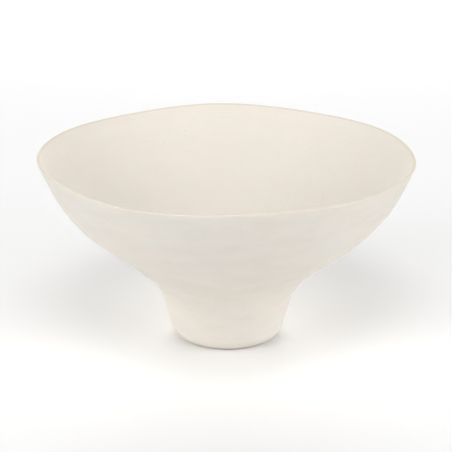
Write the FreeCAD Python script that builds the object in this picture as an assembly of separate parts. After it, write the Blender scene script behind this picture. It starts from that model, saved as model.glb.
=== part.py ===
import FreeCAD, Part
import math
import os

# A hand-thrown footed bowl in matte, unglazed white clay, 320 mm across and 162 mm high.
# It is thrown as two pots, a foot cup with a closed base and a wide open bowl, and the two are
# luted together at the waist: a turned spigot under the bowl drops into a rebate in the foot's
# rim on a bed of slip, and one coil of clay is smoothed into the corner outside and one inside.
# Millimetres, +Z up, origin at the middle of the face it rests on, +X to the right, -Y in front.

V = FreeCAD.Vector

# ---- overall sizes
RIM_RADIUS = 160.0          # outside of the bowl's mouth, mean
RIM_HEIGHT = 162.1          # top of the lip above the table, mean
JOINT_HEIGHT = 50.0         # top of the foot's rim, where the two pots meet

# ---- the foot cup
BASE_FLAT_RADIUS = 40.5     # outer edge of the face it rests on
BASE_EDGE_RADIUS = 49.2     # outside radius just above the rounded lower edge
BASE_EDGE_HEIGHT = 10.0     # height of that rounded edge
BASE_EDGE_RISE = 15.0       # degrees at which that edge leaves the table
FOOT_RIM_RADIUS = 61.0      # outside radius at the joint
FOOT_HOLLOW = 0.8           # how far the foot's side is hollowed below a straight taper
FOOT_WALL = 6.5             # wall low in the foot, square to the axis
FOOT_RIM_WALL = 10.0        # wall at its rim, left thick so that the rebate has clay all round
FLOOR_THICKNESS = 8.0       # clay under the well
FLOOR_CORNER = 14.0         # size of the round between the well's floor and its side
RECESS_RADIUS = 31.0        # shallow turned hollow under the base
RECESS_DEPTH = 1.8
RECESS_SLOPE = 2.5          # width of the hollow's sloped side

# ---- the bowl
BOWL_WALL = 5.6             # wall low in the bowl
LIP_WALL = 2.2              # wall at the lip, drawn out thin and rounded over
LIP_LEAN = 16.0             # degrees that the wall leans out at the lip
# The outside between its seat, as wide as the foot's rim, and the lip: share of the way out,
# share of the way up.
BOWL_CURVE = ((0.12, 0.087), (0.25, 0.187), (0.632, 0.46), (0.755, 0.585), (0.867, 0.728),
              (0.945, 0.872))

# ---- the luted joint
SLIP = 0.8                  # bed of slip all round the spigot and under the seat
SPIGOT_WALL = 3.0           # radial thickness of the spigot
SPIGOT_LENGTH = 6.0         # how far the spigot reaches below the seat

# ---- the coils smoothed over the joint
COIL_BELOW = 11.5           # the outer coil's lower edge, below the foot's rim
COIL_ABOVE = 13.0           # its upper edge, above the foot's rim
COIL_FILL = 0.59            # share of the corner's depth it fills once smoothed by the thumb
INNER_COIL_HALF = 7.0       # half the height of the inner coil
INNER_COIL_BULGE = 2.0      # how far the inner coil stands out of the wall
THROAT_MARGIN = 0.4         # straight throat left above and below the inner coil

# ---- the hand-made shape of the lip: waves around, rise in mm, crest in degrees from +X
LIP_WAVES = (
    (1, 3.0, 190.0),        # the whole lip leans, high on the left
    (3, 0.8, -46.0),
    (4, 0.7, 12.0),
    (6, 0.6, -28.0),
)
OVAL = 3.4                  # how far the mouth is out of round
OVAL_CREST = 46.0           # direction of the long way across, degrees from +X
WAVES_START = 40.0          # height above the seat where the waves fade out
STATIONS = 32               # columns of control points round the bowl

# ---- radii and heights at the joint, which both pots and the slip take from here
THROAT_RADIUS = FOOT_RIM_RADIUS - FOOT_RIM_WALL
SPIGOT_RADIUS = THROAT_RADIUS + SPIGOT_WALL
REBATE_RADIUS = SPIGOT_RADIUS + SLIP
SEAT_HEIGHT = JOINT_HEIGHT + SLIP
SPIGOT_END = SEAT_HEIGHT - SPIGOT_LENGTH
REBATE_FLOOR = SPIGOT_END - SLIP
INNER_SEAM = 0.5 * (SPIGOT_END + REBATE_FLOOR)
THROAT_TOP = INNER_SEAM + INNER_COIL_HALF + THROAT_MARGIN
THROAT_END = INNER_SEAM - INNER_COIL_HALF - THROAT_MARGIN


def at(point):
    """Point of the XZ plane from (radius, height)."""
    return V(point[0], 0, point[1])


def line(start, end):
    """Straight edge between two (radius, height) points."""
    return Part.LineSegment(at(start), at(end)).toShape()


def curve_through(points, start, end):
    """Spline through (radius, height) points with the directions given at its two ends."""
    spline = Part.BSplineCurve()
    spline.interpolate(Points=[at(p) for p in points],
                       InitialTangent=at(start), FinalTangent=at(end))
    return spline


def leaning(degrees):
    """Upward direction that leans out from the axis by an angle."""
    return (math.sin(math.radians(degrees)), math.cos(math.radians(degrees)))


def reversed_direction(direction):
    return (-direction[0], -direction[1])


def turn(edges):
    """Solid of revolution about Z from a closed loop of edges in the XZ plane."""
    face = Part.Face(Part.Wire(edges))
    return face.revolve(V(0, 0, 0), V(0, 0, 1), 360)


def turn_outline(points):
    """The same from a closed outline of straight lines."""
    return turn([line(a, b) for a, b in zip(points, points[1:] + points[:1])])


def parameter_at(curve, height):
    """Place along a curve that only rises where it passes a height."""
    low, high = curve.FirstParameter, curve.LastParameter
    for _ in range(50):
        middle = 0.5 * (low + high)
        if curve.value(middle).z < height:
            low = middle
        else:
            high = middle
    return low


# ---- the foot cup

def foot_side():
    """Outside of the foot from its lower edge to its rim, hollowed a little below a taper."""
    middle_radius = 0.5 * (BASE_EDGE_RADIUS + FOOT_RIM_RADIUS) - FOOT_HOLLOW
    middle_height = 0.5 * (BASE_EDGE_HEIGHT + JOINT_HEIGHT)
    out = FOOT_RIM_RADIUS - BASE_EDGE_RADIUS
    up = JOINT_HEIGHT - BASE_EDGE_HEIGHT
    taper = math.degrees(math.atan2(out, up))
    bend = math.degrees(math.atan2(4 * FOOT_HOLLOW, math.hypot(out, up)))
    points = [(BASE_EDGE_RADIUS, BASE_EDGE_HEIGHT), (middle_radius, middle_height),
              (FOOT_RIM_RADIUS, JOINT_HEIGHT)]
    lower_lean = leaning(taper - bend)
    return curve_through(points, lower_lean, leaning(taper + bend)), lower_lean


def make_foot():
    """Closed cup: rounded lower edge, side narrowing downwards, rebate in the rim."""
    side, edge_end = foot_side()
    rise = math.radians(BASE_EDGE_RISE)
    lower_edge = curve_through([(BASE_FLAT_RADIUS, 0), (BASE_EDGE_RADIUS, BASE_EDGE_HEIGHT)],
                               (math.cos(rise), math.sin(rise)), edge_end)
    well_radius = BASE_EDGE_RADIUS - FOOT_WALL
    well_flat = well_radius - FLOOR_CORNER
    corner_top = FLOOR_THICKNESS + FLOOR_CORNER
    inward = reversed_direction(edge_end)
    well_side = curve_through([(THROAT_RADIUS, THROAT_END), (well_radius, corner_top)],
                              (0, -1), inward)
    well_corner = curve_through([(well_radius, corner_top), (well_flat, FLOOR_THICKNESS)],
                                inward, (-1, 0))
    hollow_top = RECESS_RADIUS - RECESS_SLOPE
    return turn([
        line((0, RECESS_DEPTH), (hollow_top, RECESS_DEPTH)),
        line((hollow_top, RECESS_DEPTH), (RECESS_RADIUS, 0)),
        line((RECESS_RADIUS, 0), (BASE_FLAT_RADIUS, 0)),
        lower_edge.toShape(),
        side.toShape(),
        line((FOOT_RIM_RADIUS, JOINT_HEIGHT), (REBATE_RADIUS, JOINT_HEIGHT)),
        line((REBATE_RADIUS, JOINT_HEIGHT), (REBATE_RADIUS, REBATE_FLOOR)),
        line((REBATE_RADIUS, REBATE_FLOOR), (THROAT_RADIUS, REBATE_FLOOR)),
        line((THROAT_RADIUS, REBATE_FLOOR), (THROAT_RADIUS, THROAT_END)),
        well_side.toShape(),
        well_corner.toShape(),
        line((well_flat, FLOOR_THICKNESS), (0, FLOOR_THICKNESS)),
        line((0, FLOOR_THICKNESS), (0, RECESS_DEPTH)),
    ])


# ---- the bowl

def lip_rise(angle):
    """Height that the hand-made waves add to the lip in a direction."""
    return sum(rise * math.cos(waves * (angle - math.radians(crest)))
               for waves, rise, crest in LIP_WAVES)


def lip_spread(angle):
    """Radius that the oval mouth adds to the lip in a direction."""
    return OVAL * math.cos(2 * (angle - math.radians(OVAL_CREST)))


def wall_face(profile):
    """Face swept round the axis by a profile, with the lip's waves growing towards its top."""
    fade_height = SEAT_HEIGHT + WAVES_START
    poles = []
    for pole in profile.getPoles():
        share = max(0.0, (pole.z - fade_height) / (RIM_HEIGHT - fade_height))
        row = []
        for station in range(STATIONS):
            angle = 2 * math.pi * station / STATIONS
            # A closed cubic spline lies inside its control points by this factor.
            radius = (pole.x + share * lip_spread(angle)) * 3 / (2 + math.cos(2 * math.pi / STATIONS))
            row.append(V(radius * math.cos(angle), radius * math.sin(angle),
                         pole.z + share * lip_rise(angle)))
        poles.append(row)
    surface = Part.BSplineSurface()
    surface.buildFromPolesMultsKnots(
        poles,
        profile.getMultiplicities(), [1] * (STATIONS + 1),
        profile.getKnots(), [float(i) for i in range(STATIONS + 1)],
        False, True, profile.Degree, 3)
    return surface.toShape()


def bowl_outside():
    """Profile of the bowl's outside, from the seat's edge up to where the lip rounds over."""
    lean = leaning(LIP_LEAN)
    # The lip is a half round, so its top stands this far above its outer corner.
    lip_corner = RIM_HEIGHT - 0.5 * LIP_WALL * (lean[0] + lean[1])
    reach = RIM_RADIUS - FOOT_RIM_RADIUS
    rise = RIM_HEIGHT - SEAT_HEIGHT
    points = [(FOOT_RIM_RADIUS, SEAT_HEIGHT)]
    points += [(FOOT_RIM_RADIUS + reach * out, SEAT_HEIGHT + rise * up) for out, up in BOWL_CURVE]
    points.append((RIM_RADIUS, lip_corner))
    off_the_seat = (points[1][0] - points[0][0], points[1][1] - points[0][1])
    return curve_through(points, off_the_seat, lean), points


def bowl_inside(points):
    """Profile of the bowl's inside, one wall away from the outside, down to the throat."""
    inner = []
    for i in range(len(points) - 1, 0, -1):
        if i == len(points) - 1:
            along = leaning(LIP_LEAN)
        else:
            along = (points[i + 1][0] - points[i - 1][0], points[i + 1][1] - points[i - 1][1])
        length = math.hypot(along[0], along[1])
        share = (points[i][1] - SEAT_HEIGHT) / (RIM_HEIGHT - SEAT_HEIGHT)
        wall = BOWL_WALL + (LIP_WALL - BOWL_WALL) * share
        if i == len(points) - 1:
            wall = LIP_WALL
        inner.append((points[i][0] - wall * along[1] / length,
                      points[i][1] + wall * along[0] / length))
    inner.append((THROAT_RADIUS, THROAT_TOP))
    return curve_through(inner, reversed_direction(leaning(LIP_LEAN)), (0, -1)), inner


def straight(start, end):
    """Straight profile as a spline of degree 1."""
    spline = Part.BSplineCurve()
    spline.buildFromPolesMultsKnots([at(start), at(end)], [2, 2], [0.0, 1.0], False, 1)
    return spline


def half_round(start, end, lean):
    """Rounded lip from the outer corner over to the inner one."""
    handle = 2.0 / 3.0 * LIP_WALL
    poles = [start, (start[0] + handle * lean[0], start[1] + handle * lean[1]),
             (end[0] + handle * lean[0], end[1] + handle * lean[1]), end]
    spline = Part.BSplineCurve()
    spline.buildFromPolesMultsKnots([at(p) for p in poles], [4, 4], [0.0, 1.0], False, 3)
    return spline


def flat_ring(outer, inner):
    """Flat face between two closed wires at one height."""
    return Part.makeFace([outer, inner], "Part::FaceMakerBullseye")


def edge_loop(face, height):
    """The closed edge of a swept face that lies at a height."""
    for edge in face.Edges:
        if edge.BoundBox.ZLength < 1e-6 and abs(edge.BoundBox.ZMin - height) < 1e-6:
            return Part.Wire([edge])
    raise ValueError("no loop at height %g" % height)


def make_bowl():
    """Open bowl: wavy-lipped wall above, exact seat and spigot below, sewn into one solid."""
    outside, outer_points = bowl_outside()
    inside, inner_points = bowl_inside(outer_points)
    lip = half_round(outer_points[-1], inner_points[0], leaning(LIP_LEAN))
    throat = straight(inner_points[-1], (THROAT_RADIUS, SPIGOT_END))
    outer_face = wall_face(outside)
    throat_face = wall_face(throat)
    spigot_top = Part.Wire([Part.Circle(V(0, 0, SEAT_HEIGHT), V(0, 0, 1), SPIGOT_RADIUS).toShape()])
    spigot_foot = Part.Wire([Part.Circle(V(0, 0, SPIGOT_END), V(0, 0, 1), SPIGOT_RADIUS).toShape()])
    spigot_side = spigot_foot.extrude(V(0, 0, SPIGOT_LENGTH))
    faces = [outer_face, wall_face(lip), wall_face(inside), throat_face]
    faces.append(flat_ring(edge_loop(outer_face, SEAT_HEIGHT), spigot_top))
    faces.append(spigot_side.Faces[0])
    faces.append(flat_ring(spigot_foot, edge_loop(throat_face, SPIGOT_END)))
    shell = Part.Compound(faces)
    shell.sewShape()
    solid = Part.Solid(shell.Shells[0])
    if solid.Volume < 0:
        solid.reverse()
    return solid


# ---- the slip and the coils

def make_joining_slip():
    """L-section ring of slip under the seat, round the spigot and under its end."""
    return turn_outline([
        (THROAT_RADIUS, REBATE_FLOOR), (REBATE_RADIUS, REBATE_FLOOR),
        (REBATE_RADIUS, JOINT_HEIGHT), (FOOT_RIM_RADIUS, JOINT_HEIGHT),
        (FOOT_RIM_RADIUS, SEAT_HEIGHT), (SPIGOT_RADIUS, SEAT_HEIGHT),
        (SPIGOT_RADIUS, SPIGOT_END), (THROAT_RADIUS, SPIGOT_END),
    ])


def hollowed(start, end, sag):
    """Arc between two points that sags by a given depth to the left of the way between them."""
    length = math.hypot(end[0] - start[0], end[1] - start[1])
    middle = (0.5 * (start[0] + end[0]) - sag * (end[1] - start[1]) / length,
              0.5 * (start[1] + end[1]) + sag * (end[0] - start[0]) / length)
    return Part.Arc(at(start), at(middle), at(end)).toShape()


def make_outer_coil():
    """Coil smoothed to a sloping band, which fills the corner between the foot and the bowl."""
    side = foot_side()[0]
    under_bowl = bowl_outside()[0]
    low = parameter_at(side, JOINT_HEIGHT - COIL_BELOW)
    high = parameter_at(under_bowl, JOINT_HEIGHT + COIL_ABOVE)
    low_point = (side.value(low).x, side.value(low).z)
    high_point = (under_bowl.value(high).x, under_bowl.value(high).z)
    span = (high_point[0] - low_point[0], high_point[1] - low_point[1])
    corner = (FOOT_RIM_RADIUS - low_point[0], 0.5 * (JOINT_HEIGHT + SEAT_HEIGHT) - low_point[1])
    depth = (span[0] * corner[1] - span[1] * corner[0]) / math.hypot(span[0], span[1])
    return turn([
        side.toShape(low, side.LastParameter),
        line((FOOT_RIM_RADIUS, JOINT_HEIGHT), (FOOT_RIM_RADIUS, SEAT_HEIGHT)),
        under_bowl.toShape(under_bowl.FirstParameter, high),
        hollowed(low_point, high_point, depth * (1 - COIL_FILL)),
    ])


def make_inner_coil():
    """Coil smoothed over the seam inside the throat, where the spigot ends."""
    low = (THROAT_RADIUS, INNER_SEAM - INNER_COIL_HALF)
    high = (THROAT_RADIUS, INNER_SEAM + INNER_COIL_HALF)
    return turn([hollowed(low, high, INNER_COIL_BULGE), line(high, low)])


parts = {
    "foot": make_foot(),
    "bowl": make_bowl(),
    "joining_slip": make_joining_slip(),
    "outer_coil": make_outer_coil(),
    "inner_coil": make_inner_coil(),
}

os.makedirs("parts", exist_ok=True)
for name, shape in parts.items():
    shape.exportStep("parts/%s.step" % name)
    print(name, "valid" if shape.isValid() else "INVALID", "solids", len(shape.Solids),
          "volume %.0f" % shape.Volume)
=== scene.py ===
import math

import bpy
import numpy as np
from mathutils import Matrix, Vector


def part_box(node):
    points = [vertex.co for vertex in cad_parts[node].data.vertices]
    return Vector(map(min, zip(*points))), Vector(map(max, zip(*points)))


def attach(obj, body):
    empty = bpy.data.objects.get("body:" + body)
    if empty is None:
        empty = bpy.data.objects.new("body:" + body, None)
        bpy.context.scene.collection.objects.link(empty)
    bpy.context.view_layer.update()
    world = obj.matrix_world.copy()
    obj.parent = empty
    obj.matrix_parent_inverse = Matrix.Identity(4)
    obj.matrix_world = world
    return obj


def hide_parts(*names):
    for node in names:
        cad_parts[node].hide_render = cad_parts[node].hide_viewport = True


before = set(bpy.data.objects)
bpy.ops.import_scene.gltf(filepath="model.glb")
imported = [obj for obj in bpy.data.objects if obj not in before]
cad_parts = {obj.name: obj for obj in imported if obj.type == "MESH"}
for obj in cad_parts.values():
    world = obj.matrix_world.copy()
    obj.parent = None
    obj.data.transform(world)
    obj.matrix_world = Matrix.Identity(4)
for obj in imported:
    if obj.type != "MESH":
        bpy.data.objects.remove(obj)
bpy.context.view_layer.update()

# ---- view
# A long lens on a tripod, looking down at a shallow slope on the middle of the pot's height, with
# the far lip above the near one.
sight_distance = 1.44
sight_elevation = math.radians(19.53)
aim_height = 0.0975
camera = bpy.data.objects.new("camera", bpy.data.cameras.new("camera"))
camera.data.lens = 133.1
camera.data.sensor_width = 36.0
camera.data.shift_x = -0.0031
camera.location = (0.0, -sight_distance * math.cos(sight_elevation),
                   aim_height + sight_distance * math.sin(sight_elevation))
camera.rotation_euler = (math.pi / 2 - sight_elevation, 0.0, 0.0)
bpy.context.scene.collection.objects.link(camera)
bpy.context.scene.camera = camera

# ---- foot
# The lower pot: a cup thrown on the wheel in white clay, narrowing to a closed base with a soft
# lower edge. A shallow hollow is turned out underneath and a rebate is cut into its rim.
# Its outside is wiped smooth with a sponge and left unglazed.
rest_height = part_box("foot")[0][2]
joint_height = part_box("foot")[1][2]
foot_rim_radius = 0.0610
foot_rim_wall = 0.0100
foot_wall = 0.0065
foot_side_hollow = 0.0008
base_edge_radius, base_edge_height = 0.0492, 0.0100
base_edge_rise = math.radians(15)
base_flat_radius = 0.0405
recess_radius, recess_depth, recess_slope = 0.0310, 0.0018, 0.0025
floor_thickness, floor_corner = 0.0080, 0.0140
slip_bed = 0.0008
spigot_wall, spigot_length = 0.0030, 0.0060
inner_coil_half, inner_coil_bulge, throat_margin = 0.0070, 0.0020, 0.0004
throat_radius = foot_rim_radius - foot_rim_wall
spigot_radius = throat_radius + spigot_wall
rebate_radius = spigot_radius + slip_bed
seat_height = joint_height + slip_bed
spigot_end = seat_height - spigot_length
rebate_floor = spigot_end - slip_bed
seam_height = 0.5 * (spigot_end + rebate_floor)
throat_top = seam_height + inner_coil_half + throat_margin
throat_end = seam_height - inner_coil_half - throat_margin


def leaning(angle):
    """Upward direction of the section that leans out from the axis by an angle."""
    return np.array([math.sin(angle), math.cos(angle)])


def straight_run(start, end, step):
    """Points of the section, (radius, height), along a straight line."""
    length = math.hypot(end[0] - start[0], end[1] - start[1])
    return np.linspace(start, end, max(2, round(length / step) + 1))


def smooth_run(points, start, end, step):
    """Points of the section along a smooth line through a few, with a direction at each end."""
    points = np.array(points, float)
    span = np.hypot(*np.diff(points, axis=0).T)
    places = np.concatenate([[0.0], np.cumsum(span)])
    last = len(points) - 1
    # The directions at the middle points make the line's bend continuous.
    terms, sums = np.eye(last + 1), np.zeros((last + 1, 2))
    sums[0] = np.array(start) / np.hypot(*start)
    sums[last] = np.array(end) / np.hypot(*end)
    for i in range(1, last):
        before, after = span[i - 1], span[i]
        terms[i, i - 1:i + 2] = after, 2 * (before + after), before
        sums[i] = 3 * (after / before * (points[i] - points[i - 1])
                       + before / after * (points[i + 1] - points[i]))
    slopes = np.linalg.solve(terms, sums)
    wanted = np.linspace(0.0, places[-1], max(2, round(places[-1] / step) + 1))
    i = np.clip(np.searchsorted(places, wanted, side="right") - 1, 0, last - 1)
    long = span[i][:, None]
    u = ((wanted - places[i]) / span[i])[:, None]
    return (points[i] * (2 * u ** 3 - 3 * u ** 2 + 1) + slopes[i] * long * u * (1 - u) ** 2
            + points[i + 1] * (3 * u ** 2 - 2 * u ** 3) - slopes[i + 1] * long * u ** 2 * (1 - u))


def node(tree, kind, inputs=None, **settings):
    """A node with its settings made and its inputs set or linked; gives its outputs."""
    made = tree.nodes.new(kind)
    for name, value in settings.items():
        setattr(made, name, value)
    for name, value in (inputs or {}).items():
        if isinstance(value, bpy.types.NodeSocket):
            tree.links.new(value, made.inputs[name])
        else:
            made.inputs[name].default_value = value
    return made.outputs


def maths(tree, operation, *values):
    """A Math node on sockets or numbers; gives its output."""
    return node(tree, "ShaderNodeMath", dict(enumerate(values)), operation=operation)[0]


lip_waves = (1, 3, 4, 6)


def thrown_wall_tree():
    """Geometry Nodes that turn a section round the wheel's axis, and add the lip's waves, the
    spiral groove left by the fingers, and the dents and the flat left by the hands."""
    tree = bpy.data.node_groups.new("thrown_wall", "GeometryNodeTree")
    kinds = {"Section": "NodeSocketGeometry", "Stations": "NodeSocketInt",
             "Material": "NodeSocketMaterial", "Oval": "NodeSocketFloat",
             "Oval Crest": "NodeSocketFloat", "Groove Pitch": "NodeSocketFloat",
             "Groove Depth": "NodeSocketFloat", "Dent Size": "NodeSocketFloat",
             "Dent Depth": "NodeSocketFloat", "Flat Depth": "NodeSocketFloat",
             "Flat Way": "NodeSocketFloat", "Seed": "NodeSocketFloat"}
    for waves in lip_waves:
        kinds["Rise %d" % waves] = kinds["Crest %d" % waves] = "NodeSocketFloat"
    for name, kind in kinds.items():
        tree.interface.new_socket(name, in_out="INPUT", socket_type=kind)
    tree.interface.new_socket("Pot", in_out="OUTPUT", socket_type="NodeSocketGeometry")
    given = tree.nodes.new("NodeGroupInput").outputs
    rows = node(tree, "GeometryNodeAttributeDomainSize", {"Geometry": given["Section"]},
                component="MESH")["Point Count"]
    grid = node(tree, "GeometryNodeMeshGrid", {
        "Vertices X": maths(tree, "ADD", given["Stations"], 1), "Vertices Y": rows})["Mesh"]
    index = node(tree, "GeometryNodeInputIndex")[0]
    column = maths(tree, "FLOOR", maths(tree, "DIVIDE", maths(tree, "ADD", index, 0.5), rows))
    row = maths(tree, "SUBTRACT", index, maths(tree, "MULTIPLY", column, rows))
    turn = maths(tree, "DIVIDE", column, given["Stations"])
    angle = maths(tree, "MULTIPLY", turn, 2 * math.pi)

    def mark(name, kind="FLOAT"):
        """What the section carries in the same row."""
        value = node(tree, "GeometryNodeInputNamedAttribute", {"Name": name}, data_type=kind)[0]
        return node(tree, "GeometryNodeSampleIndex", {
            "Geometry": given["Section"], "Value": value, "Index": row}, data_type=kind)[0]

    def wave(times, rise, crest):
        """A wave that goes a number of times round."""
        phase = maths(tree, "MULTIPLY", maths(tree, "SUBTRACT", angle, crest), times)
        return maths(tree, "MULTIPLY", maths(tree, "COSINE", phase), rise)

    place = node(tree, "ShaderNodeSeparateXYZ", {0: mark("position", "FLOAT_VECTOR")})
    outward = node(tree, "ShaderNodeSeparateXYZ", {0: mark("outward", "FLOAT_VECTOR")})
    share, arc, inside, lip = mark("share"), mark("arc"), mark("inside"), mark("lip")
    radius = maths(tree, "MULTIPLY_ADD", share, wave(2, given["Oval"], given["Oval Crest"]),
                   place["X"])
    height = place["Z"]
    for waves in lip_waves:
        rise = wave(waves, given["Rise %d" % waves], given["Crest %d" % waves])
        height = maths(tree, "MULTIPLY_ADD", share, rise, height)

    def around(tall):
        """Where each point is so far, with its height drawn out by a factor."""
        return node(tree, "ShaderNodeCombineXYZ", {
            "X": maths(tree, "MULTIPLY", radius, maths(tree, "COSINE", angle)),
            "Y": maths(tree, "MULTIPLY", radius, maths(tree, "SINE", angle)),
            "Z": maths(tree, "MULTIPLY", height, tall)})[0]

    # The groove is one spiral, which climbs by its pitch in a turn.
    spiral = maths(tree, "ADD", maths(tree, "DIVIDE", arc, given["Groove Pitch"]), turn)
    groove = maths(tree, "COSINE", maths(tree, "MULTIPLY", spiral, 2 * math.pi))
    groove = maths(tree, "MULTIPLY", maths(tree, "MULTIPLY", groove, given["Groove Depth"]),
                   mark("grooved"))
    # Dents are longer along the turning than up the wall.
    dent_stretch = 2.4
    noise = node(tree, "ShaderNodeTexNoise", {
        "Vector": around(dent_stretch), "W": given["Seed"], "Detail": 2.0, "Roughness": 0.45,
        "Scale": maths(tree, "DIVIDE", 1, given["Dent Size"])}, noise_dimensions="4D")[0]
    dent = maths(tree, "MULTIPLY", maths(tree, "SUBTRACT", noise, 0.5), given["Dent Depth"])
    radius = maths(tree, "MULTIPLY_ADD", dent, mark("dented"), radius)
    # The flat is deepest in one direction and fades to nothing a quarter of a turn from it.
    flat_fading = 3
    facing = maths(tree, "COSINE", maths(tree, "SUBTRACT", angle, given["Flat Way"]))
    pressed = maths(tree, "POWER", maths(tree, "MAXIMUM", facing, 0), flat_fading)
    pressed = maths(tree, "MULTIPLY", maths(tree, "MULTIPLY", pressed, given["Flat Depth"]),
                    mark("flat"))
    radius = maths(tree, "SUBTRACT", radius, pressed)
    radius = maths(tree, "MULTIPLY_ADD", groove, outward["X"], radius)
    height = maths(tree, "MULTIPLY_ADD", groove, outward["Z"], height)
    shape = node(tree, "GeometryNodeSetPosition", {"Geometry": grid, "Position": around(1)})[0]
    for name, value in (("inside", inside), ("lip", lip), ("turn", turn), ("arc", arc)):
        shape = node(tree, "GeometryNodeStoreNamedAttribute", {
            "Geometry": shape, "Name": name, "Value": value}, data_type="FLOAT")[0]
    unrolled = node(tree, "ShaderNodeCombineXYZ", {
        axis: node(tree, "GeometryNodeInputNamedAttribute", {"Name": name}, data_type="FLOAT")[0]
        for axis, name in (("X", "turn"), ("Y", "arc"))})[0]
    shape = node(tree, "GeometryNodeStoreNamedAttribute", {
        "Geometry": shape, "Name": "UVMap", "Value": unrolled},
        data_type="FLOAT2", domain="CORNER")[0]
    for name in ("turn", "arc"):
        shape = node(tree, "GeometryNodeRemoveAttribute", {"Geometry": shape, "Name": name})[0]
    # The first and last stations are welded, and the section's corners stay crisp.
    weld_distance = 2e-6
    crisp_bend = math.radians(50)
    shape = node(tree, "GeometryNodeMergeByDistance", {
        "Geometry": shape, "Distance": weld_distance})[0]
    shape = node(tree, "GeometryNodeSetShadeSmooth", {"Geometry": shape})[0]
    bend = node(tree, "GeometryNodeInputMeshEdgeAngle")["Unsigned Angle"]
    sharp = node(tree, "FunctionNodeCompare", {0: bend, 1: crisp_bend},
                 data_type="FLOAT", operation="GREATER_THAN")[0]
    shape = node(tree, "GeometryNodeSetShadeSmooth", {
        "Geometry": shape, "Selection": sharp, "Shade Smooth": False}, domain="EDGE")[0]
    shape = node(tree, "GeometryNodeRealizeInstances", {"Geometry": shape})[0]
    shape = node(tree, "GeometryNodeSetMaterial", {
        "Geometry": shape, "Material": given["Material"]})[0]
    tree.links.new(shape, tree.nodes.new("NodeGroupOutput").inputs[0])
    return tree


thrown_wall = thrown_wall_tree()


def throw(name, runs, material, sizes):
    """A finished pot from the runs of its section, anticlockwise from the axis or in a loop.
    Each run is its points and the marks on them: share of the lip's waves, grooved, dented,
    flat, inside and lip."""
    points = np.concatenate([runs[0][0]] + [run[1:] for run, _ in runs[1:]])
    mesh = bpy.data.meshes.new(name)
    mesh.from_pydata([(r, 0.0, z) for r, z in points],
                     [(i, i + 1) for i in range(len(points) - 1)], [])
    ahead, behind = np.vstack([points[1:], points[-1:]]), np.vstack([points[:1], points[:-1]])
    if np.allclose(points[0], points[-1]):
        ahead[-1], behind[0] = points[1], points[-2]
    along = ahead - behind
    along /= np.hypot(*along.T)[:, None]
    outward = np.stack([along[:, 1], 0 * along[:, 0], -along[:, 0]], axis=1)
    mesh.attributes.new("outward", "FLOAT_VECTOR", "POINT").data.foreach_set(
        "vector", outward.ravel())
    arc = np.concatenate([[0.0], np.cumsum(np.hypot(*np.diff(points, axis=0).T))])
    mesh.attributes.new("arc", "FLOAT", "POINT").data.foreach_set("value", arc)
    for mark in ("share", "grooved", "dented", "flat", "inside", "lip"):
        values = []
        for run, marks in runs:
            value = marks.get(mark, 0.0)
            column = value(run) if callable(value) else np.full(len(run), value)
            values.append(column if not values else column[1:])
        mesh.attributes.new(mark, "FLOAT", "POINT").data.foreach_set(
            "value", np.concatenate(values))
    section = bpy.data.objects.new(name + "_section", mesh)
    bpy.context.scene.collection.objects.link(section)
    modifier = section.modifiers.new("thrown_wall", "NODES")
    modifier.node_group = thrown_wall
    for item in thrown_wall.interface.items_tree:
        if item.name in sizes:
            modifier[item.identifier] = sizes[item.name]
        elif item.name == "Material":
            modifier[item.identifier] = material
    graph = bpy.context.evaluated_depsgraph_get()
    turned = bpy.data.meshes.new_from_object(section.evaluated_get(graph), depsgraph=graph)
    section.modifiers.remove(modifier)
    bpy.data.objects.remove(section)
    turned.name = name
    turned.materials.clear()
    turned.materials.append(material)
    pot = bpy.data.objects.new(name, turned)
    bpy.context.scene.collection.objects.link(pot)
    return pot


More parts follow.
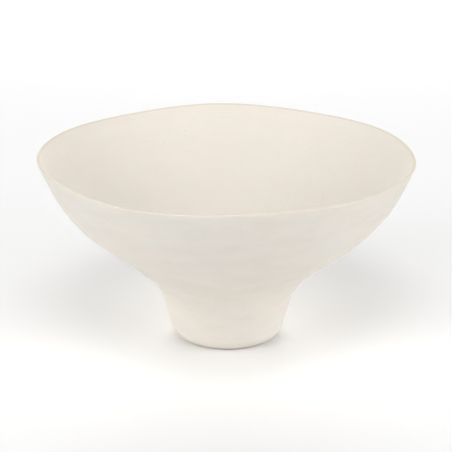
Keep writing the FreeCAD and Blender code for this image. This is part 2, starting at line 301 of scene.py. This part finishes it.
def fired_clay(name, warm, cool):
    """Matte unglazed white clay: soft warm and cool clouds left by the kiln and the sponge, fine
    grain, a creamier dry lip, a few iron specks, painted shade over the outside with painted floor
    bounce near the base, and separate inside and outside tints that are painted light."""
    cloud_size, streak_size = 0.042, 0.028
    cloud_flatness, streak_flatness, streak_shift = 1.6, 2.6, 0.4
    streak_depth, grain_depth = 0.15, 0.07
    grain_size, pit_size, pit_depth, rough_size = 0.0011, 0.0009, 0.00008, 0.004
    inside_strength, outside_strength = 0.25, 0.75
    # These inside and outside tints are painted light: the same clay, toned apart to match how
    # each side is lit.
    inside_painted_tint, outside_painted_tint = (0.992, 0.988, 1.006), (1.0, 1.002, 1.015)
    dry_lip = (0.762, 0.703, 0.598)
    # Painted floor bounce at the base, and painted shade on the outside from this height up.
    bounce_height, painted_bounce_tone = 0.005, 1.024
    shade_height, painted_shade_tone = 0.070, 0.886
    speck_gap, speck_core, speck_edge, speck_depth = 0.019, 0.016, 0.040, 0.22

    material = bpy.data.materials.new(name)
    material.use_nodes = True
    tree = material.node_tree
    shader = tree.nodes["Principled BSDF"]
    shader.inputs["Specular IOR Level"].default_value = 0.18
    place = node(tree, "ShaderNodeTexCoord")["Object"]

    def cloud(size, detail, tall=1.0, shift=0.0):
        """Noise of a size in metres, from 0 to 1, squeezed in height by a factor."""
        spot = node(tree, "ShaderNodeMapping", {
            "Vector": place, "Scale": (1, 1, tall), "Location": (shift, shift, 0)})[0]
        return node(tree, "ShaderNodeTexNoise", {
            "Vector": spot, "Scale": 1 / size, "Detail": detail, "Roughness": 0.55})[0]

    def stretched(value, low, high):
        """A value spread out so that low becomes 0 and high becomes 1."""
        return node(tree, "ShaderNodeMapRange", {
            "Value": value, "From Min": low, "From Max": high},
            interpolation_type="SMOOTHSTEP")[0]

    def mixed(share, first, second, kind="MIX"):
        """Two colours mixed by a share."""
        made = tree.nodes.new("ShaderNodeMix")
        made.data_type, made.blend_type = "RGBA", kind
        for socket, value in zip((made.inputs[0], made.inputs[6], made.inputs[7]),
                                 (share, first, second)):
            if isinstance(value, bpy.types.NodeSocket):
                tree.links.new(value, socket)
            else:
                socket.default_value = value if isinstance(value, float) else (*value, 1)
        return made.outputs[2]

    inside = node(tree, "ShaderNodeAttribute", attribute_name="inside")["Fac"]
    outside = maths(tree, "SUBTRACT", 1, inside)
    # The clouds are much fainter inside, where nothing wiped the clay.
    strength = maths(tree, "MULTIPLY_ADD", outside, outside_strength - inside_strength,
                     inside_strength)
    clouds = stretched(cloud(cloud_size, 4.0, cloud_flatness), 0.38, 0.62)
    clouds = maths(tree, "MULTIPLY_ADD", maths(tree, "SUBTRACT", clouds, 0.5), strength, 0.5)
    colour = mixed(clouds, warm, cool)
    lip = node(tree, "ShaderNodeAttribute", attribute_name="lip")["Fac"]
    grain = maths(tree, "MULTIPLY_ADD", cloud(grain_size, 3.0), grain_depth,
                  1 - 0.5 * grain_depth)
    streak = maths(tree, "SUBTRACT", cloud(streak_size, 4.0, streak_flatness, streak_shift), 0.5)
    streak = maths(tree, "MULTIPLY_ADD", maths(tree, "MULTIPLY", streak, strength),
                   streak_depth, 1)
    # Painted light: separate tints for the inside and the outside of the same clay, fitted to how
    # each side is lit.
    colour = mixed(inside, mixed(1.0, colour, outside_painted_tint, "MULTIPLY"),
                   mixed(1.0, colour, inside_painted_tint, "MULTIPLY"))
    # Painted shade makes the outside darker than the inside from 7 cm up; painted floor bounce
    # makes the foot paler from there down to its base.
    height = node(tree, "ShaderNodeSeparateXYZ", {0: place})["Z"]
    painted_shade = node(tree, "ShaderNodeMapRange", {
        "Value": height, "From Min": bounce_height, "From Max": shade_height,
        "To Min": painted_bounce_tone, "To Max": painted_shade_tone})[0]
    # Only the outside takes the painted shade and the painted floor bounce.
    painted_shade = maths(tree, "MULTIPLY_ADD", maths(tree, "SUBTRACT", painted_shade, 1), outside, 1)
    shade = maths(tree, "MULTIPLY", maths(tree, "MULTIPLY", grain, streak), painted_shade)
    # Iron specks, about a millimetre across and several centimetres apart.
    spread = node(tree, "ShaderNodeTexVoronoi", {
        "Vector": place, "Scale": 1 / speck_gap})["Distance"]
    shade = maths(tree, "MULTIPLY", shade, maths(
        tree, "MULTIPLY_ADD", stretched(spread, speck_edge, speck_core), -speck_depth, 1))
    tone = node(tree, "ShaderNodeCombineColor", {"Red": shade, "Green": shade, "Blue": shade})[0]
    colour = mixed(1.0, colour, tone, "MULTIPLY")
    colour = mixed(lip, colour, dry_lip)
    tree.links.new(colour, shader.inputs["Base Color"])
    rough = maths(tree, "MULTIPLY_ADD", cloud(rough_size, 2.0), 0.16, 0.80)
    tree.links.new(rough, shader.inputs["Roughness"])
    bump = node(tree, "ShaderNodeBump", {
        "Height": cloud(pit_size, 4.0), "Distance": pit_depth, "Strength": 0.6})[0]
    tree.links.new(bump, shader.inputs["Normal"])
    return material


white_clay = fired_clay("white_clay", (0.860, 0.798, 0.712), (0.836, 0.804, 0.728))
hand_marks = {"Dent Size": 0.035, "Dent Depth": 0.0012, "Seed": 3.0,
              "Groove Pitch": 0.0024, "Groove Depth": 0.00006}
foot_out = foot_rim_radius - base_edge_radius
foot_up = joint_height - base_edge_height
foot_taper = math.atan2(foot_out, foot_up)
foot_bend = math.atan2(4 * foot_side_hollow, math.hypot(foot_out, foot_up))


def foot_side(step):
    """Outside of the foot, hollowed a little below a straight taper."""
    middle = (0.5 * (base_edge_radius + foot_rim_radius) - foot_side_hollow,
              0.5 * (base_edge_height + joint_height))
    return smooth_run([(base_edge_radius, base_edge_height), middle,
                       (foot_rim_radius, joint_height)],
                      leaning(foot_taper - foot_bend), leaning(foot_taper + foot_bend), step)


well_radius = base_edge_radius - foot_wall
corner_top = floor_thickness + floor_corner
recess_top = rest_height + recess_depth
well_marks = {"inside": 1.0, "grooved": 1.0}
foot = throw("foot_cup", [
    (straight_run((0, recess_top), (recess_radius - recess_slope, recess_top), 0.002), {}),
    (straight_run((recess_radius - recess_slope, recess_top), (recess_radius, rest_height),
                  0.0006), {}),
    (straight_run((recess_radius, rest_height), (base_flat_radius, rest_height), 0.001), {}),
    (smooth_run([(base_flat_radius, rest_height), (base_edge_radius, base_edge_height)],
                leaning(math.pi / 2 - base_edge_rise), leaning(foot_taper - foot_bend), 0.0006),
     {"dented": lambda run: run[:, 1] / base_edge_height}),
    (foot_side(0.0008), {"dented": 1.0}),
    (straight_run((foot_rim_radius, joint_height), (rebate_radius, joint_height), 0.001), {}),
    (straight_run((rebate_radius, joint_height), (rebate_radius, rebate_floor), 0.001), {}),
    (straight_run((rebate_radius, rebate_floor), (throat_radius, rebate_floor), 0.001), {}),
    (straight_run((throat_radius, rebate_floor), (throat_radius, throat_end), 0.001),
     {"inside": 1.0}),
    (smooth_run([(throat_radius, throat_end), (well_radius, corner_top)], (0, -1),
                -leaning(foot_taper - foot_bend), 0.0005), well_marks),
    (smooth_run([(well_radius, corner_top), (well_radius - floor_corner, floor_thickness)],
                -leaning(foot_taper - foot_bend), (-1, 0), 0.0005), well_marks),
    (straight_run((well_radius - floor_corner, floor_thickness), (0, floor_thickness), 0.0005),
     well_marks),
], white_clay, dict(hand_marks, Stations=160))
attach(foot, "root")
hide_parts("foot")

# ---- joining slip
# Thick liquid clay brushed into the foot's rebate. Pressed home on it, the bowl's spigot and seat
# squeeze it to a thin even bed, which fires greyer and coarser than the pots.
grit_size, grit_depth, grit_share = 0.0007, 0.00015, 0.4
brush_size = 0.012
slip_clay = bpy.data.materials.new("slip_clay")
slip_clay.use_nodes = True
slip_tree = slip_clay.node_tree
slip_shader = slip_tree.nodes["Principled BSDF"]
slip_shader.inputs["Specular IOR Level"].default_value = 0.15
slip_place = node(slip_tree, "ShaderNodeTexCoord")["Object"]
slip_grit = node(slip_tree, "ShaderNodeTexNoise", {
    "Vector": slip_place, "Scale": 1 / grit_size, "Detail": 4.0, "Roughness": 0.6})[0]
brushing = node(slip_tree, "ShaderNodeTexNoise", {
    "Vector": slip_place, "Scale": 1 / brush_size, "Detail": 3.0, "Roughness": 0.5})[0]
slip_colour = slip_tree.nodes.new("ShaderNodeValToRGB")
slip_colour.color_ramp.elements[0].color = (0.700, 0.655, 0.580, 1)
slip_colour.color_ramp.elements[1].color = (0.790, 0.745, 0.665, 1)
slip_colour.color_ramp.elements[0].position = 0.35
slip_colour.color_ramp.elements[1].position = 0.65
slip_tone = maths(slip_tree, "MULTIPLY_ADD", slip_grit, grit_share,
                  maths(slip_tree, "MULTIPLY", brushing, 1 - grit_share))
slip_tree.links.new(slip_tone, slip_colour.inputs[0])
slip_tree.links.new(slip_colour.outputs[0], slip_shader.inputs["Base Color"])
slip_tree.links.new(maths(slip_tree, "MULTIPLY_ADD", slip_grit, 0.12, 0.84),
                    slip_shader.inputs["Roughness"])
slip_tree.links.new(node(slip_tree, "ShaderNodeBump", {
    "Height": slip_grit, "Distance": grit_depth, "Strength": 0.7})[0],
                    slip_shader.inputs["Normal"])
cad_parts["joining_slip"].material_slots[0].material = slip_clay

# ---- bowl
# The upper pot: a wide open bowl thrown on the wheel, with a spigot turned under it for the foot's
# rebate. Its wall thins to a rounded lip, dried slightly out of true, and is pressed a little flat
# where a hand lifted it. The finger's last pass left fine rings inside; the outside is wiped.
rim_radius, rim_height = 0.1600, 0.1621
bowl_wall, lip_wall = 0.0056, 0.0022
lip_lean = math.radians(16)
bowl_curve = ((0.12, 0.087), (0.25, 0.187), (0.632, 0.46), (0.755, 0.585), (0.867, 0.728),
              (0.945, 0.872))
waves_start = 0.040
lip_shape = {"Oval": 0.0034, "Oval Crest": math.radians(46),
             "Rise 1": 0.0030, "Crest 1": math.radians(190),
             "Rise 3": 0.0008, "Crest 3": math.radians(-46),
             "Rise 4": 0.0007, "Crest 4": math.radians(12),
             "Rise 6": 0.0006, "Crest 6": math.radians(-28)}
flat_marks = {"Flat Depth": 0.0022, "Flat Way": math.radians(205)}
flat_height, flat_reach = 0.0880, 0.0250
rings_start = 0.004

lip_corner = rim_height - 0.5 * lip_wall * leaning(lip_lean).sum()
outer = [(foot_rim_radius, seat_height)]
for out, up in bowl_curve:
    outer.append((foot_rim_radius + out * (rim_radius - foot_rim_radius),
                  seat_height + up * (rim_height - seat_height)))
outer.append((rim_radius, lip_corner))
outer = np.array(outer)
inner = []
for i in range(len(outer) - 1, 0, -1):
    if i == len(outer) - 1:
        along, wall = leaning(lip_lean), lip_wall
    else:
        along = outer[i + 1] - outer[i - 1]
        along = along / np.hypot(*along)
        wall = bowl_wall + (lip_wall - bowl_wall) * (outer[i][1] - seat_height) / (
            rim_height - seat_height)
    inner.append(outer[i] + wall * np.array([-along[1], along[0]]))
inner.append((throat_radius, throat_top))


def under_bowl(step):
    """Outside of the bowl from its seat to its lip."""
    return smooth_run(outer, outer[1] - outer[0], leaning(lip_lean), step)


def lip_share(run):
    """How much of the lip's waves a height takes."""
    start = seat_height + waves_start
    return np.maximum(0.0, (run[:, 1] - start) / (rim_height - start))


def flat_share(run):
    """How much of the flat left by the lifting hand a height takes."""
    return np.maximum(0.0, 1 - ((run[:, 1] - flat_height) / flat_reach) ** 2) ** 2


def over_lip(rows):
    """The rounded lip from its outer corner over to its inner one."""
    handle = 2 / 3 * lip_wall * leaning(lip_lean)
    u = np.linspace(0.0, 1.0, rows)[:, None]
    return ((1 - u) ** 3 * outer[-1] + 3 * u * (1 - u) ** 2 * (outer[-1] + handle)
            + 3 * u ** 2 * (1 - u) * (inner[0] + handle) + u ** 3 * inner[0])


bowl = throw("open_bowl", [
    (straight_run((throat_radius, spigot_end), (spigot_radius, spigot_end), 0.0015), {}),
    (straight_run((spigot_radius, spigot_end), (spigot_radius, seat_height), 0.0015), {}),
    (straight_run((spigot_radius, seat_height), (foot_rim_radius, seat_height), 0.0015), {}),
    (under_bowl(0.0020), {"share": lip_share, "flat": flat_share, "dented": 1.0}),
    (over_lip(11), {"share": lip_share, "lip": 1.0}),
    (smooth_run(inner, -leaning(lip_lean), (0, -1), 0.00048),
     {"share": lip_share, "flat": flat_share, "inside": 1.0,
      "grooved": lambda run: np.clip((rim_height - run[:, 1]) / rings_start, 0.0, 1.0)}),
    (straight_run((throat_radius, throat_top), (throat_radius, spigot_end), 0.0015),
     {"inside": 1.0}),
], white_clay, dict(hand_marks, **lip_shape, **flat_marks, Stations=216))
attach(bowl, "root")
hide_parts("bowl")

# ---- outer coil
# A coil of the same clay laid into the corner where the two pots meet and smoothed by the thumb
# to a sloping band, feathered out over the foot below and the bowl above.
coil_low = joint_height - 0.0115
coil_high = joint_height + 0.0130
coil_fill = 0.59
corner_step, corner_stride = 0.0001, 8


def hollowed_run(start, end, sag, step):
    """Points along a shallow arc that sags to the left of the way between its ends."""
    way = np.array(end) - start
    length = np.hypot(*way)
    u = np.linspace(0.0, 1.0, max(2, round(length / step) + 1))
    bend = 4 * u * (1 - u) * sag
    return start + u[:, None] * way + bend[:, None] * np.array([-way[1], way[0]]) / length


corner_foot = foot_side(corner_step)
corner_bowl = under_bowl(corner_step)
low_point = np.array([np.interp(coil_low, corner_foot[:, 1], corner_foot[:, 0]), coil_low])
high_point = np.array([np.interp(coil_high, corner_bowl[:, 1], corner_bowl[:, 0]), coil_high])
band = high_point - low_point
corner = np.array([foot_rim_radius, 0.5 * (joint_height + seat_height)]) - low_point
corner_depth = (band[0] * corner[1] - band[1] * corner[0]) / np.hypot(*band)
down_bowl = corner_bowl[corner_bowl[:, 1] < coil_high][::-corner_stride]
down_foot = corner_foot[corner_foot[:, 1] > coil_low][::-corner_stride]
coil = throw("waist_coil", [
    (hollowed_run(low_point, high_point, corner_depth * (1 - coil_fill), 0.0006), {"dented": 1.0}),
    (np.vstack([high_point, down_bowl, (foot_rim_radius, seat_height)]), {"dented": 1.0}),
    (straight_run((foot_rim_radius, seat_height), (foot_rim_radius, joint_height), 0.001), {}),
    (np.vstack([(foot_rim_radius, joint_height), down_foot[1:], low_point]), {"dented": 1.0}),
], white_clay, dict(hand_marks, Stations=216))
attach(coil, "root")
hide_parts("outer_coil")

# ---- inner coil
# A thinner coil pressed over the seam inside the throat and rubbed down to a low round ridge.
inner_low = (throat_radius, seam_height - inner_coil_half)
inner_high = (throat_radius, seam_height + inner_coil_half)
seam_coil = throw("throat_coil", [
    (straight_run(inner_low, inner_high, 0.001), {}),
    (hollowed_run(inner_high, inner_low, -inner_coil_bulge, 0.0005), {"inside": 1.0}),
], white_clay, dict(hand_marks, Stations=144))
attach(seam_coil, "root")
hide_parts("inner_coil")

# ---- floor and light
# A seamless white paper floor in a tent of diffusing cloth, lit softly from all round. The tent's
# walls glow more than its roof.
roof_strength, wall_strength = 0.08, 0.85
wall_top, roof_edge = math.sin(math.radians(7)), math.sin(math.radians(17))
floor_half, paper_white = 2.1, (0.96, 0.96, 0.96, 1)
floor_mesh = bpy.data.meshes.new("floor")
floor_mesh.from_pydata([(x * floor_half, y * floor_half, 0.0)
                        for x, y in ((-1, -1), (1, -1), (1, 1), (-1, 1))], [], [(0, 1, 2, 3)])
floor = bpy.data.objects.new("floor", floor_mesh)
bpy.context.scene.collection.objects.link(floor)
paper = bpy.data.materials.new("white_paper")
paper.use_nodes = True
paper_shader = paper.node_tree.nodes["Principled BSDF"]
paper_shader.inputs["Base Color"].default_value = paper_white
paper_shader.inputs["Roughness"].default_value = 0.9
paper_shader.inputs["Specular IOR Level"].default_value = 0.1
floor_mesh.materials.append(paper)
world = bpy.data.worlds.new("tent")
world.use_nodes = True
world.node_tree.nodes["Background"].inputs["Color"].default_value = (1, 1, 1, 1)
direction = node(world.node_tree, "ShaderNodeTexCoord")["Generated"]
glow = node(world.node_tree, "ShaderNodeMapRange", {
    "Value": node(world.node_tree, "ShaderNodeSeparateXYZ", {0: direction})["Z"],
    "From Min": wall_top, "From Max": roof_edge,
    "To Min": wall_strength, "To Max": roof_strength}, interpolation_type="SMOOTHSTEP")[0]
world.node_tree.links.new(glow, world.node_tree.nodes["Background"].inputs["Strength"])
bpy.context.scene.world = world
softboxes = {
    "high_front": ((0.0, -1.2, 2.3), 1.2, 24.0),
    "low_front": ((0.0, -2.6, 0.7), 1.6, 4.2),
    "left": ((-2.2, 0.0, 0.8), 1.4, 9.4),
    "right": ((2.2, 0.0, 0.8), 1.4, 12.4),
    "left_front": ((-1.8, -1.5, 1.6), 1.4, 20.8),
    "right_front": ((1.8, -1.5, 1.6), 1.4, 15.4),
    "back": ((0.0, 2.4, 1.0), 1.8, 42.0),
}
for name, (place, width, power) in softboxes.items():
    light = bpy.data.lights.new(name, "AREA")
    light.shape, light.size, light.energy = "SQUARE", width, power
    box = bpy.data.objects.new(name, light)
    box.location = place
    box.rotation_euler = (-Vector(place)).to_track_quat("-Z", "Y").to_euler()
    box.visible_camera = False
    bpy.context.scene.collection.objects.link(box)
bpy.context.scene.view_settings.view_transform = "Standard"
